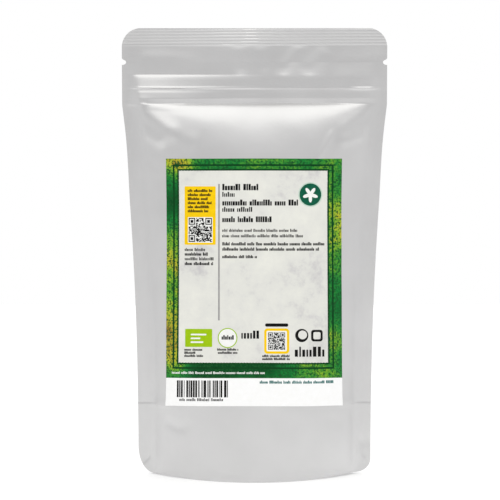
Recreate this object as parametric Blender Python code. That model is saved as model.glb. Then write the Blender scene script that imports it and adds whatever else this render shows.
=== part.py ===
"""A filled and sealed stand-up pouch of whole cardamom pods, with a press-to-close zip and a label.

Two panels of laminate film are sealed together along their sides and top. A bottom gusset of the
same film is folded up between them, so that the pouch opens out below and stands on its hems.
Units are metres. +Z is up, the label faces -Y, and the origin is under the middle of the pouch.
A place on a panel is given as it lies flat: s across from the middle, t up from the bottom edge.
"""
import math

import bmesh
import bpy
import numpy as np

MM = 0.001

# The flat pouch.
WIDTH = 130 * MM
LENGTH = 225 * MM
SIDE_SEAL = 7 * MM
TOP_SEAL = 8.8 * MM
CORNER_RADIUS = 9.5 * MM
EDGE_STEP = 0.5 * MM
ROW_STEP = 0.12 * MM
FILM = 0.3 * MM
GAP = 0.3 * MM

# The notches that the top tears open from.
NOTCH_BELOW_TOP = 17 * MM
NOTCH_DEPTH = 2.05 * MM
NOTCH_HALF_HEIGHT = 1.35 * MM

# The bottom gusset: its fold at the sides, its hem in the middle and the rise of its free span.
# Beside the folded gusset the seals hold four layers, which fade out above it and beside it.
FOLD_HEIGHT = 35 * MM
HEM_HEIGHT = 6 * MM
SPAN_RISE = 2 * MM
FOLD_FADE = 3 * MM
FOLD_INSET = 9 * MM
SPAN_STEPS = 9

# The filled pouch: how far it stands out and up to where, how flat its middle stays and how high
# it stands. Its hems meet the surface round the middle of the foot, and its corners stand off it.
BULGE = 24.6 * MM
BULGE_TOP = 187.5 * MM
BULGE_POWER = 2.5
SHOULDER_ROUNDING = 0.05
FLATNESS = 0.3
STANDING_HEIGHT = 221.5 * MM
FLAT_FOOT = 17 * MM
FOOT_MIDDLE = -3 * MM
CORNER_LIFT = 2.3 * MM
LIFT_FADE = 90 * MM

# The zip, and the flat that its two strips hold open.
ZIP_FOOT = 189.2 * MM
ZIP_HEAD = 200.6 * MM
ZIP_DEPTH = 1.3 * MM
ZIP_HALF_LENGTH = 51.5 * MM
ZIP_END = 6 * MM
ZIP_FADE_FROM = 150 * MM
FLANGE = 0.25 * MM
FLANGE_MARGIN = 1.2 * MM

# The ribs that the top seal's jaws press into the film.
RIB_PITCH = 1.5 * MM
RIB_HEIGHT = 0.15 * MM

# The label on the front panel.
LABEL_WIDTH = 89 * MM
LABEL_LENGTH = 123 * MM
LABEL_FOOT = 37.5 * MM
LABEL_THICKNESS = 0.2 * MM
LABEL_ROWS, LABEL_COLUMNS = 15, 13

# The pods inside, as one bulk.
FILL_TOP = 97 * MM
FILL_HEAP = 7 * MM
FILL_HALF_WIDTH = 52 * MM
FILL_LUMPS = 0.9 * MM
FILL_CLEARANCE = 2 * FILM + 2 * GAP
FILL_SEED = 7
FILL_FOOT = 1.2 * MM
FILL_ROWS, FILL_LOOPS = 9, 19

HALF = WIDTH / 2
FREE_HALF = HALF - SIDE_SEAL
SEAL_FOOT = LENGTH - TOP_SEAL
RISE = STANDING_HEIGHT / LENGTH
NODES, WEIGHTS = np.polynomial.legendre.leggauss(12)
BEND_ANGLES = np.linspace(0, 1.5, 151)


def smooth(value):
    """Rise from 0 to 1 with level ends as value goes from 0 to 1."""
    value = np.clip(value, 0, 1)
    return value * value * (3 - 2 * value)


def bent(run, angle):
    """Where a point comes to lie when the free half of a panel is bent.

    run is 0 at the panel's middle and 1 at the side seal, and angle is the slope at the seal.
    The result is the distance across and the distance fallen back, for a free half 1 long.
    """
    steps = run[..., None] * (NODES + 1) / 2
    slope = angle[..., None] * ((1 - FLATNESS) * steps + FLATNESS * steps ** 3)
    across = run * (np.cos(slope) @ WEIGHTS) / 2
    fallen = run * (np.sin(slope) @ WEIGHTS) / 2
    return across, fallen


BEND_DEPTHS = bent(np.ones(len(BEND_ANGLES)), BEND_ANGLES)[1] * FREE_HALF


def bulge_depth(t):
    """How far the contents and the air push a panel's middle out at height t."""
    rest = 1 - (np.clip(t, 0, BULGE_TOP) / BULGE_TOP) ** BULGE_POWER
    eased = np.sqrt(rest + SHOULDER_ROUNDING ** 2) - SHOULDER_ROUNDING
    return BULGE * eased


def zip_depth(s, t):
    """How far the zip's strips hold a panel off the seal's plane."""
    rising = smooth((t - ZIP_FADE_FROM) / (ZIP_FOOT - ZIP_FADE_FROM))
    falling = 1 - smooth((t - ZIP_HEAD) / (SEAL_FOOT - ZIP_HEAD))
    across = smooth((FREE_HALF - np.abs(s)) / ZIP_END)
    return ZIP_DEPTH * rising * falling * across


def seal_depth(s, t):
    """Half the thickness of the seals: four layers below the fold at the sides, elsewhere two."""
    fold = 1 - smooth((t - FOLD_HEIGHT) / FOLD_FADE)
    beside = smooth((np.abs(s) - FREE_HALF) / FOLD_INSET + 1)
    return GAP / 2 + FILM + fold * beside * (GAP + FILM)


def rib_depth(t):
    """The pressed ribs of the top seal."""
    wave = 0.5 - 0.5 * np.cos(2 * math.pi * (LENGTH - t) / RIB_PITCH)
    return np.where(t > SEAL_FOOT, RIB_HEIGHT * wave, 0)


def lift(s, t):
    """How far the pouch's outer corners stand off the surface."""
    out = np.clip((np.abs(s - FOOT_MIDDLE) - FLAT_FOOT) / (HALF - FLAT_FOOT), 0, 1)
    low = np.clip(1 - t / LIFT_FADE, 0, 1)
    return CORNER_LIFT * out ** 2 * low ** 2


def panel(s, t):
    """The outer face of the front panel, where it is when the pouch is filled and stands."""
    s, t = np.broadcast_arrays(np.asarray(s, float), np.asarray(t, float))
    depth = bulge_depth(t)
    angle = np.interp(depth, BEND_DEPTHS, BEND_ANGLES)
    run = np.clip(np.abs(s) / FREE_HALF, 0, 1)
    across, fallen = bent(run, angle)
    beyond = np.clip(np.abs(s) - FREE_HALF, 0, None)
    x = np.sign(s) * (across * FREE_HALF + beyond)
    out = seal_depth(s, t) + rib_depth(t) + zip_depth(s, t) + depth - fallen * FREE_HALF
    return np.stack([x, -out, t * RISE + lift(s, t)], axis=-1)


def normal(s, t, reach=0.4 * MM):
    """The outward direction of the front panel."""
    across = panel(s + reach, t) - panel(s - reach, t)
    up = panel(s, t + reach) - panel(s, t - reach)
    out = np.cross(across, up)
    return out / np.linalg.norm(out, axis=-1, keepdims=True)


def layer(s, t, inward):
    """The front panel's surface, moved in from its outer face."""
    s, t = np.broadcast_arrays(np.asarray(s, float), np.asarray(t, float))
    return panel(s, t) - inward * normal(s, t)


def mirrored(points):
    """The same points on the back of the pouch."""
    return points * np.array([1, -1, 1])


def round_steps(count=6):
    """Heights of even steps round a quarter circle, from 0 to its radius of 1."""
    return 1 - np.cos(np.linspace(0, math.pi / 2, count + 1))


def half_width(t):
    """Half of the outline's width at height t, with its round corners and tear notches."""
    to_edge = np.clip(np.minimum(t, LENGTH - t), 0, CORNER_RADIUS)
    corner = CORNER_RADIUS - np.sqrt(CORNER_RADIUS ** 2 - (CORNER_RADIUS - to_edge) ** 2)
    from_notch = (t - (LENGTH - NOTCH_BELOW_TOP)) / NOTCH_HALF_HEIGHT
    notch = NOTCH_DEPTH * np.sqrt(np.clip(1 - from_notch ** 2, 0, 1))
    return HALF - corner - notch


def columns():
    """Where the columns cross a panel, closest at the side seals, with one on each edge."""
    half = np.array([0, 10, 20, 31, 41, 49, 54, 58]) * MM
    half = np.append(half, HALF)
    return np.concatenate([-half[:0:-1], half])


def fitted(s, t):
    """The columns s, moved in where the outline at height t is narrower; the last ones lie on it."""
    reach = half_width(t)
    inside = np.clip(s, EDGE_STEP - reach, reach - EDGE_STEP)
    return np.where(np.abs(s) < HALF, inside, np.sign(s) * reach)


def panel_rows():
    """Heights of the panel's rows, closest where its outline or its section turns."""
    corner = CORNER_RADIUS * round_steps()
    fold = np.array([14, 21, 28, 35, 36.5, 38]) * MM
    body = np.array([50, 65, 80, 95, 110, 125, 138, 150, 160, 168, 175, 180, 183.5, 185.8, 187]) * MM
    zip_rows = np.array([BULGE_TOP, ZIP_FOOT, 192 * MM, 197 * MM, ZIP_HEAD, 204 * MM, 213 * MM])
    notch_turns = np.sin(np.radians([-90, -60, -30, 0, 30, 60, 90]))
    notch = LENGTH - NOTCH_BELOW_TOP + NOTCH_HALF_HEIGHT * notch_turns
    ribs = LENGTH - np.arange(RIB_PITCH / 2, TOP_SEAL, RIB_PITCH / 2)
    rows = np.concatenate([corner, fold, body, zip_rows, notch, [SEAL_FOOT], ribs, LENGTH - corner])
    rows = np.sort(rows)
    return rows[np.diff(rows, prepend=-1) > ROW_STEP]


def sheet_faces(rows, cols, folded):
    """Triangles of a closed sheet whose two faces each have rows by cols points.

    The rows of a folded sheet run up the front and down the back, so its back half is split
    along the other diagonal, which makes its triangles lie flat against the back film's.
    """
    place = np.arange(rows * cols).reshape(rows, cols)
    low, high = place[:-1], place[1:]
    quads = np.stack([low[:, :-1], low[:, 1:], high[:, 1:], high[:, :-1]], axis=-1)
    if folded:
        quads[rows // 2:] = np.roll(quads[rows // 2:], -1, axis=-1)
    quads = quads.reshape(-1, 4)
    front = np.concatenate([quads[:, [0, 1, 2]], quads[:, [0, 2, 3]]])
    back = front[:, ::-1] + rows * cols
    rim = np.concatenate([place[0, :], place[1:, -1], place[-1, -2::-1], place[-2::-1, 0]])
    start, end = rim[:-1], rim[1:]
    far_start, far_end = start + rows * cols, end + rows * cols
    side = np.concatenate([np.stack([end, start, far_start], 1), np.stack([end, far_start, far_end], 1)])
    return np.concatenate([front, back, side])


def add_object(name, points, faces, material):
    """A closed object with its faces pointing out."""
    mesh = bpy.data.meshes.new(name)
    mesh.from_pydata(np.asarray(points).tolist(), [], np.asarray(faces).tolist())
    shape = bmesh.new()
    shape.from_mesh(mesh)
    bmesh.ops.recalc_face_normals(shape, faces=shape.faces)
    shape.to_mesh(mesh)
    shape.free()
    mesh.shade_smooth()
    mesh.set_sharp_from_angle(angle=math.radians(35))
    mesh.materials.append(material)
    piece = bpy.data.objects.new(name, mesh)
    bpy.context.scene.collection.objects.link(piece)
    return piece


def add_sheet(name, outer, inner, material, folded=False):
    """A thin piece between two surfaces that have the same rows and columns."""
    rows, cols = outer.shape[:2]
    points = np.concatenate([outer.reshape(-1, 3), inner.reshape(-1, 3)])
    return add_object(name, points, sheet_faces(rows, cols, folded), material)


def add_film(name, turn, material):
    """One of the two large panels; turn puts it on its side of the pouch."""
    t = panel_rows()[:, None]
    s = fitted(columns(), t)
    outer = turn(layer(s, t, 0))
    inner = turn(layer(s, t, FILM))
    return add_sheet(name, outer, inner, material)


def hem_height(s):
    """How high the gusset is sealed to the panel, lowest in the middle."""
    run = np.clip(np.abs(s) / FREE_HALF, 0, 1)
    return HEM_HEIGHT + (FOLD_HEIGHT - HEM_HEIGHT) * run ** 2


def span_rise(s, across):
    """The low ridge of the gusset's free span; across is -1 at the front and 1 at the back."""
    run = np.clip(np.abs(s) / FREE_HALF, 0, 1)
    return SPAN_RISE * (1 - run ** 2) * (1 - np.abs(across)) ** 0.7


def gusset_layer(inward, drop):
    """One face of the gusset: up the front hem, over the free span and down the back hem."""
    corner = CORNER_RADIUS / FOLD_HEIGHT
    leg = np.append(corner * round_steps(), np.linspace(corner, 1, 4)[1:-1])
    s = columns()
    top = hem_height(s) - drop
    rows = []
    for part in leg:
        t = part * hem_height(s)
        rows.append(layer(fitted(s, t), t, inward))
    front = layer(s, top, inward)
    span = []
    for across in np.linspace(-1, 1, SPAN_STEPS):
        point = front * np.array([1, -across, 1])
        point[:, 2] += span_rise(s, across)
        span.append(point)
    back = [mirrored(row) for row in rows[::-1]]
    return np.array(rows + span + back)


def add_gusset(material):
    """The folded film that the pouch stands on."""
    outer = gusset_layer(FILM + GAP, 0)
    inner = gusset_layer(2 * FILM + GAP, FILM)
    return add_sheet("bottom_gusset", outer, inner, material, folded=True)


def add_label(material):
    """The label, which lies on the front panel."""
    s = np.linspace(-LABEL_WIDTH / 2, LABEL_WIDTH / 2, LABEL_COLUMNS)[None, :]
    t = np.linspace(LABEL_FOOT, LABEL_FOOT + LABEL_LENGTH, LABEL_ROWS)[:, None]
    outer = layer(s, t, -GAP - LABEL_THICKNESS)
    inner = layer(s, t, -GAP)
    return add_sheet("label", outer, inner, material)


def fill_wall(s, lumps):
    """The front edge of one cross-section of the bulk, from the gusset up to the heap."""
    foot = hem_height(s) + FILL_FOOT
    t = np.linspace(foot, FILL_TOP, FILL_ROWS)
    inward = normal(s, t) * (FILL_CLEARANCE + lumps)[:, None]
    return panel(s, t) - inward


def fill_loop(s, lumps):
    """A closed loop round the bulk of pods at one distance from the middle."""
    front, back = fill_wall(s, lumps[0]), mirrored(fill_wall(s, lumps[1]))
    share = np.linspace(0, 1, FILL_ROWS)[1:-1, None]
    across = 2 * share[:, 0] - 1
    top = front[-1] * (1 - share) + back[-1] * share
    top[:, 2] += FILL_HEAP * (1 - across ** 2) * (1 - (s / FREE_HALF) ** 2) - lumps[2][1:-1]
    bottom = back[0] * (1 - share) + front[0] * share
    bottom[:, 2] += span_rise(s, across)
    return np.concatenate([front, top, back[::-1], bottom])


def loft_faces(loops, count):
    """Triangles round lofted loops of count points, with a fan over each end."""
    faces = []
    for loop in range(loops - 1):
        for here in range(count):
            after = (here + 1) % count
            low, high = loop * count, (loop + 1) * count
            faces.append([low + here, low + after, high + after])
            faces.append([low + here, high + after, high + here])
    last = (loops - 1) * count
    for here in range(count):
        after = (here + 1) % count
        faces.append([after, here, loops * count])
        faces.append([last + here, last + after, loops * count + 1])
    return faces


def add_fill(material):
    """The pods, as one lumpy bulk that fills the lower part of the pouch."""
    draw = np.random.default_rng(FILL_SEED)
    places = np.linspace(-FILL_HALF_WIDTH, FILL_HALF_WIDTH, FILL_LOOPS)
    loops = [fill_loop(s, FILL_LUMPS * draw.random((3, FILL_ROWS))) for s in places]
    ends = [loops[0].mean(axis=0), loops[-1].mean(axis=0)]
    points = np.concatenate(loops + [np.array(ends)])
    faces = loft_faces(len(loops), len(loops[0]))
    return add_object("cardamom_fill", points, faces, material)


def female_profile():
    """The strip with the groove: out from its flange's back, and up from the zip's middle."""
    half = (ZIP_HEAD - ZIP_FOOT) / 2 - FLANGE_MARGIN
    rib_out, groove, mouth = 1.3 * MM, 0.85 * MM, 0.45 * MM
    lip, end = 1.15 * MM, 1.4 * MM
    side = [(0, half), (FLANGE, half), (FLANGE, rib_out), (end, rib_out), (end, mouth)]
    side += [(lip, mouth), (lip, groove), (FLANGE, groove)]
    return side + [(out, -up) for out, up in side[::-1]]


def male_profile():
    """The strip with the tongue that snaps into the groove."""
    half = (ZIP_HEAD - ZIP_FOOT) / 2 - FLANGE_MARGIN
    stem, head, tip = 0.15 * MM, 0.55 * MM, 0.35 * MM
    neck, end = 1.45 * MM, 1.75 * MM
    side = [(0, half), (FLANGE, half), (FLANGE, stem), (neck, stem), (neck, head), (end, tip)]
    return side + [(out, -up) for out, up in side[::-1]]


def add_strip(name, profile, facing, material):
    """A zip strip: its profile run along the pouch, on the panel that facing points away from."""
    middle = (ZIP_FOOT + ZIP_HEAD) / 2 * RISE
    back = ZIP_DEPTH + GAP / 2 - GAP
    shape = bmesh.new()
    corners = [(-ZIP_HALF_LENGTH, facing * (out - back), middle + up) for out, up in profile]
    face = shape.faces.new([shape.verts.new(corner) for corner in corners])
    run = bmesh.ops.extrude_face_region(shape, geom=[face])
    moved = [item for item in run["geom"] if isinstance(item, bmesh.types.BMVert)]
    bmesh.ops.translate(shape, verts=moved, vec=(2 * ZIP_HALF_LENGTH, 0, 0))
    bmesh.ops.recalc_face_normals(shape, faces=shape.faces)
    mesh = bpy.data.meshes.new(name)
    shape.to_mesh(mesh)
    shape.free()
    mesh.materials.append(material)
    strip = bpy.data.objects.new(name, mesh)
    bpy.context.scene.collection.objects.link(strip)
    return strip


def plain_material(name, colour, roughness, metallic=0.0):
    """A material with one colour and finish."""
    material = bpy.data.materials.new(name)
    material.use_nodes = True
    shader = material.node_tree.nodes["Principled BSDF"]
    shader.inputs["Base Color"].default_value = (*colour, 1)
    shader.inputs["Roughness"].default_value = roughness
    shader.inputs["Metallic"].default_value = metallic
    return material


def main():
    for old in list(bpy.data.objects):
        bpy.data.objects.remove(old)
    silver = (0.72, 0.73, 0.74)
    add_film("front_film", lambda points: points, plain_material("front_film", silver, 0.35, 0.9))
    add_film("back_film", mirrored, plain_material("back_film", silver, 0.35, 0.9))
    add_gusset(plain_material("bottom_gusset", silver, 0.35, 0.9))
    zip_colour = (0.86, 0.87, 0.88)
    add_strip("zip_female", female_profile(), 1, plain_material("zip_female", zip_colour, 0.4))
    add_strip("zip_male", male_profile(), -1, plain_material("zip_male", zip_colour, 0.4))
    add_label(plain_material("label", (0.84, 0.85, 0.78), 0.45))
    add_fill(plain_material("cardamom_fill", (0.36, 0.40, 0.20), 0.7))


main()
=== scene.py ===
"""The looks of a filled stand-up pouch: creased silver film, a printed label and a soft studio.

Units are metres in the frame's own axes: +Z up, the label faces -Y. A place on a panel is given as
it lies flat: s across from the middle, t up from the bottom edge.
"""
import math

import bmesh
import bpy
import numpy as np
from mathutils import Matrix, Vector


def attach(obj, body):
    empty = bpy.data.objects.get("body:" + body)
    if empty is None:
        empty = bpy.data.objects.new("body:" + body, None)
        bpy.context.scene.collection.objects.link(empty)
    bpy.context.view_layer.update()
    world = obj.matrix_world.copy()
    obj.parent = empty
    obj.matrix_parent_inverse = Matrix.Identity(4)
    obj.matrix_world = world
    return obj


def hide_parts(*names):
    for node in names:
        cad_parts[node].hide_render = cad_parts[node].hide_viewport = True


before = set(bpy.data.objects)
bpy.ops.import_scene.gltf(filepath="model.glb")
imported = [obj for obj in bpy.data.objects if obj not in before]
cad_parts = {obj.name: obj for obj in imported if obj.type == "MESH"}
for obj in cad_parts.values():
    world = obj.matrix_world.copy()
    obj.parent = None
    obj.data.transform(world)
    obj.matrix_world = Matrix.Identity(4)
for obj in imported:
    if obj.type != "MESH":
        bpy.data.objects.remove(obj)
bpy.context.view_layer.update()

MM = 0.001
TINY = 0.001 * MM

# The flat pouch, as in the frame but for its lower corners and its fold, which follow the
# photograph.
WIDTH = 130 * MM
LENGTH = 225 * MM
SIDE_SEAL = 7 * MM
TOP_SEAL = 8.8 * MM
TOP_CORNER = 9.5 * MM
LEFT_CORNER_WIDTH, LEFT_CORNER_HEIGHT = 8 * MM, 14 * MM
RIGHT_CORNER = 7 * MM
NOTCH_BELOW_TOP = 17 * MM
NOTCH_DEPTH = 2.05 * MM
NOTCH_HALF_HEIGHT = 1.35 * MM
FOLD_HEIGHT = 35.6 * MM
FOLD_FADE = 0.9 * MM
FOLD_INSET = 18 * MM
HEM_HEIGHT = 6 * MM
SPAN_RISE = 2 * MM

# The filled pouch, close to the frame's. Its face is a little rounder across, and hips run down and
# inwards from its upper corners. The foot is flat in the middle, and its corners lift.
BULGE = 25.1 * MM
BULGE_POWER = 2.5
SHOULDER_ROUNDING = 0.05
WIDTH_FLATNESS = 0.36
FACE_FLATNESS = -0.3
STANDING_HEIGHT = 221.5 * MM
FLAT_FOOT = 22 * MM
LIFT_REACH = 26 * MM
LEFT_LIFT = 0.45 * MM
RIGHT_LIFT = 1.0 * MM
LIFT_FADE = 90 * MM
BULGE_TOP = 187.5 * MM
STEEPEST = 1.5
HIP_FOOT = 135 * MM
HIP_SPREAD = 1.55
HIP_SHARPNESS = 4
HIP_SHARE = 0.95

# The film is thinner here than in the frame, and sealed layers touch.
FILM = 0.19 * MM
SEAL_HALF = 0.2 * MM
SEAL_BEND = 4.6 * MM
FREE_PAST_SIDE = 0.5 * MM
FREE_BELOW_TOP = 1 * MM
FREE_FADE = 5 * MM
HEM_GAP = 0.01 * MM
SPAN_ROUNDING = 0.7

# The pods inside, which stay clear of the films and of the gusset.
FILL_HALF = 50 * MM
FILL_TOP = 150 * MM
FILL_GAP = 1.6 * MM
FILL_ABOVE_GUSSET = 4 * MM
FILL_COLUMNS, FILL_ROWS = 90, 110

# The zip's relief in the film: places upwards, and how far the film stands off the seal's plane
# there. It drops sharply above the strips on the left and gently on the right, where a small spike
# ends it.
ZIP_HALF_LENGTH = 55.5 * MM
ZIP_END = 7.5 * MM
ZIP_PLACES = np.array([150, 184, 187.4, 190.3, 193, 194.6, 195.4, 196.1,
                       199.5, 200.5, 201.3, 201.9, 205, 208]) * MM
ZIP_LEFT = np.array([0, 2.4, 3.0, 3.25, 2.6, 1.95, 2.75, 2.2,
                     1.15, 0.8, 0.42, 0, 0, 0]) * MM
ZIP_RIGHT = np.array([0, 0.8, 0.93, 1.2, 1.2, 1.26, 1.38, 1.27,
                      1.22, 1.12, 1.02, 0.92, 0.4, 0]) * MM
ZIP_CHANGE_START, ZIP_CHANGE_RUN = -50 * MM, 66 * MM
SPIKE_START, SPIKE_RUN = 45 * MM, 6 * MM
SPIKE_PLACE = 195.2 * MM
SPIKE_REACH = 0.6 * MM
SPIKE_HEIGHT = 0.35 * MM

# The ribs pressed into the top seal. They run slightly downhill and are strongest near the middle.
RIB_PITCH = 1.5 * MM
RIB_HEIGHT = 0.16 * MM
RIB_TILT = 0.006
RIB_SHARPNESS = 3
RIB_START = 0.6 * MM
RIB_MIDDLE = -6 * MM
RIB_MIDDLE_REACH = 18 * MM
RIB_MIDDLE_GAIN = 0.4

# Gentle waves: of the whole pouch, of one panel's film and of the pods under it.
POUCH_WAVES = {"seed": 3, "count": 6, "longest": 120 * MM, "shortest": 40 * MM, "height": 0.25 * MM}
PANEL_WAVES = {"count": 8, "longest": 60 * MM, "shortest": 16 * MM, "height": 0.16 * MM}
POD_WAVES = {"seed": 5, "count": 6, "longest": 9 * MM, "shortest": 5 * MM, "height": 0.5 * MM}
FRONT_SEED, BACK_SEED = 11, 12

# The pouch's waves grow from its foot. Its neck is the stretch between the zip and the top seal.
# A crease fades at both ends.
WAVES_FOOT = 60 * MM
NECK_FOOT, NECK_FADE = 200 * MM, 3 * MM
NECK_PAST_SEAL, NECK_HEAD_FADE = 2 * MM, 4 * MM
CREASE_TAPER = 0.35

# The label. In the photograph it looks straight and even on the bulging film, so it is drawn a
# little wider towards its sides, and arched, as its foot and its head need: (at foot, at head).
LABEL_WIDTH = 89 * MM
LABEL_LENGTH = 123 * MM
LABEL_FOOT = 37.5 * MM
LABEL_THICKNESS = 0.12 * MM
LABEL_SHIFT = -0.44 * MM
LABEL_MIDDLE = 0.951
LABEL_EDGES = (0.100, 0.020)
LABEL_ARCH = (2.8, 0.6)
LABEL_RISE = (1.2, 0.7)
LABEL_HOLD = 0.85
LABEL_HOLD_MARGIN = 2 * MM
LABEL_HOLD_FADE = 6 * MM
INK = 0.03 * MM
INK_GAP = 0.005 * MM
CELL = 1.5 * MM
ROUND_POINTS = 6
DISC_GRID, FLOWER_GRID = 15, 25
PETAL_DEPTH = 0.45

# Meaningless strokes, in shares of their line's height, and codes.
THIN_GAP, BOLD_GAP = 0.14, 0.09
THIN_EXTRA, BOLD_EXTRA = 0.02, 0.08
STROKE_WIDTHS = (0.14, 0.34)
SHORT_STROKE = 0.7
WORD_STROKES = (5, 14)
WORD_GAP = 0.45
LAST_ROOM = 0.5
CODE_CELLS = 25
CODE_DARK = 0.62
BAR_MODULE = 0.3
BAR_WIDTHS, BAR_GAPS = [1, 2, 3, 4], [1, 1, 1, 2, 3]
INK_SEED, NOTE_SEED = 21, 31

# The photograph is 500 pixels wide, at 2025 pixels a metre at the pouch, from 1.5 metres away.
PICTURE = 500
PIXELS_PER_METRE = 2025
CAMERA_DISTANCE = 1.5
CAMERA_PITCH = math.radians(7)
CLIP_START = 0.05
SENSOR_MM = 36
POUCH_PIXEL = (254.5, 254.2)
POUCH_AIM = 0.11

# The studio: colours of the surround, the floor's size and glow, and the lamps, in metres and
# watts.
WHITE = (1.0, 1.0, 1.0, 1)
WARM = (1.0, 0.995, 0.955)
SURROUND_FRONT = (0.765, 0.763, 0.765, 1)
SURROUND_SIDE = (0.96, 0.96, 0.96, 1)
SURROUND_SHIFT = 0.15
FLOOR_HALF_WIDTH = 0.35
FLOOR_FRONT, FLOOR_BACK = -0.8, 0.6
FLOOR_GLOW = 0.46
FLOOR_GLOW_REACH = 0.12
FLOOR_SIDE = (0.85, 0.85, 0.85, 1)
LAMPS = [
    {"name": "top_lamp", "place": (0, -0.42, 1.2), "aim": (0, 0, 0.1), "size": (1.6, 1.2),
     "power": 5.05, "colour": WARM},
    {"name": "front_lamp", "place": (0, -1.2, 0.95), "aim": (0, 0, 0.1), "size": (1.4, 0.5),
     "power": 0.42, "colour": WHITE[:3]},
    {"name": "rear_lamp", "place": (0, 1.1, 1.5), "aim": (0, -0.1, 0.0), "size": (2.6, 1.4),
     "power": 10, "colour": WHITE[:3]},
]

# Surfaces: roughness as one value or as (lowest, highest), and the depths of their grain.
PRINT_GLOSS = 0.08
PRINT_ROUGHNESS = 0.5
BORDER_ROUGHNESS = (0.43, 0.55)
PARCHMENT_ROUGHNESS = (0.36, 0.46)
FILM_ROUGHNESS = (0.28, 0.40)
POD_ROUGHNESS = (0.6, 0.8)
ZIP_ROUGHNESS = 0.35
FLOOR_ROUGHNESS = 0.7
ROUGHNESS_SPREAD = 0.05
GRAIN_SCALE = 3000
GRAIN_DEPTH = 0.01 * MM
FILM_DENT_DEPTH, FILM_GRAIN_DEPTH = 0.06 * MM, 0.008 * MM
POD_GROOVE_DEPTH, POD_GRAIN_DEPTH = 2 * MM, 0.2 * MM

# The zip's plastic, the floor and the inks, each as a darker and a lighter tone.
ZIP_TONES = ((0.76, 0.77, 0.78), (0.84, 0.85, 0.86))
FLOOR_TONES = ((0.58, 0.58, 0.58), (0.60, 0.60, 0.60))
INKS = {
    "label_white": ((0.93, 0.93, 0.92), (0.96, 0.96, 0.96)),
    "line_green": ((0.001, 0.045, 0.008), (0.004, 0.065, 0.014)),
    "print_yellow": ((0.88, 0.56, 0.002), (0.96, 0.63, 0.005)),
    "print_light_green": ((0.31, 0.52, 0.004), (0.36, 0.57, 0.008)),
    "print_pale_green": ((0.50, 0.66, 0.55), (0.58, 0.72, 0.62)),
    "print_dark_green": ((0.003, 0.085, 0.045), (0.006, 0.115, 0.06)),
    "print_white": ((0.86, 0.87, 0.84), (0.92, 0.92, 0.90)),
    "print_black": ((0.004, 0.004, 0.004), (0.008, 0.008, 0.008)),
    "print_blue_green": ((0.02, 0.13, 0.12), (0.03, 0.17, 0.16)),
    "print_grey": ((0.30, 0.29, 0.29), (0.36, 0.35, 0.35)),
}

# The border's dark speckle, and colours along a noise as (place, colour).
SPECKLE = (0.010, 0.085, 0.020, 1)
BORDER_STOPS = [
    (0.36, (0.001, 0.060, 0.012)), (0.44, (0.004, 0.13, 0.025)), (0.51, (0.010, 0.20, 0.035)),
    (0.56, (0.05, 0.28, 0.030)), (0.61, (0.19, 0.42, 0.028)), (0.66, (0.48, 0.50, 0.032)),
    (0.71, (0.32, 0.22, 0.025)), (0.77, (0.12, 0.065, 0.015)),
]
FILM_STOPS = [(0.3, (0.60, 0.597, 0.597)), (0.7, (0.64, 0.637, 0.637))]
PARCHMENT_STOPS = [(0.34, (0.58, 0.57, 0.57)), (0.46, (0.73, 0.73, 0.69)), (0.66, (0.80, 0.80, 0.74))]
# Pod colours along the distance from a pod's middle: the pods' own pale and mid greens, then near
# black as painted shade in the gaps between pods.
POD_STOPS_WITH_GAP_SHADE = [(0.0, (0.42, 0.44, 0.17)), (0.5, (0.30, 0.34, 0.12)), (0.9, (0.10, 0.11, 0.04))]
SPECKLE_STOPS = [(0.40, (0, 0, 0)), (0.52, (1, 1, 1))]

# Measures that follow from the others.
HALF = WIDTH / 2
FREE_HALF = HALF - SIDE_SEAL
SEAL_FOOT = LENGTH - TOP_SEAL
RISE = STANDING_HEIGHT / LENGTH
LABEL_TOP = LABEL_FOOT + LABEL_LENGTH

# The panels' tables: the step between their points, how far a place stays inside the last of
# them in steps, and the number of slopes that are tried for a bulge.
TABLE_STEP = 0.25 * MM
TABLE_MARGIN = 1.001
SLOPES_TRIED = 301

# The films' meshes: columns over the still middle and the side, and runs of rows as (start, end,
# step) in millimetres for the fold, the body, the shoulder, the zip and the neck.
STILL_HALF = 50 * MM
MIDDLE_COLUMNS, SIDE_COLUMNS = 44, 24
ROW_RUNS = [(34, 37, 0.25), (15, 176, 1.5), (176, 187, 0.6), (187, 203, 0.32), (203, 216, 0.7)]
ROUND_ROWS, RIB_ROWS = 15, 8
CLOSEST_ROWS = 0.06 * MM
LEG_ROWS, SPAN_ROWS = 30, 42
SHARP_ANGLE = math.radians(50)


def smooth(value):
    """Rise from 0 to 1 with level ends as value goes from 0 to 1."""
    value = np.clip(value, 0, 1)
    return value * value * (3 - 2 * value)


def bulge_depth(t):
    """How far the contents and the air push a panel's middle out at height t."""
    rest = 1 - (np.clip(t, 0, BULGE_TOP) / BULGE_TOP) ** BULGE_POWER
    return BULGE * (np.sqrt(rest + SHOULDER_ROUNDING ** 2) - SHOULDER_ROUNDING)


def seal_depth(s, t):
    """Half the thickness of the seals: four layers below the fold at the sides, elsewhere two."""
    fold = 1 - smooth((t - FOLD_HEIGHT) / FOLD_FADE)
    beside = smooth((np.abs(s) - FREE_HALF) / FOLD_INSET + 1)
    return SEAL_HALF + fold * beside * SEAL_HALF


def zip_relief(s, t):
    """The film over the zip's strips, which end in a crushed stretch at the side seals."""
    right = smooth((s - ZIP_CHANGE_START) / ZIP_CHANGE_RUN)
    left_part = np.interp(t, ZIP_PLACES, ZIP_LEFT) * (1 - right)
    right_part = np.interp(t, ZIP_PLACES, ZIP_RIGHT) * right
    spike = smooth((s - SPIKE_START) / SPIKE_RUN) * np.exp(-((t - SPIKE_PLACE) / SPIKE_REACH) ** 2)
    height = left_part + right_part + SPIKE_HEIGHT * spike
    return height * smooth((ZIP_HALF_LENGTH + ZIP_END - np.abs(s)) / ZIP_END)


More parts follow.
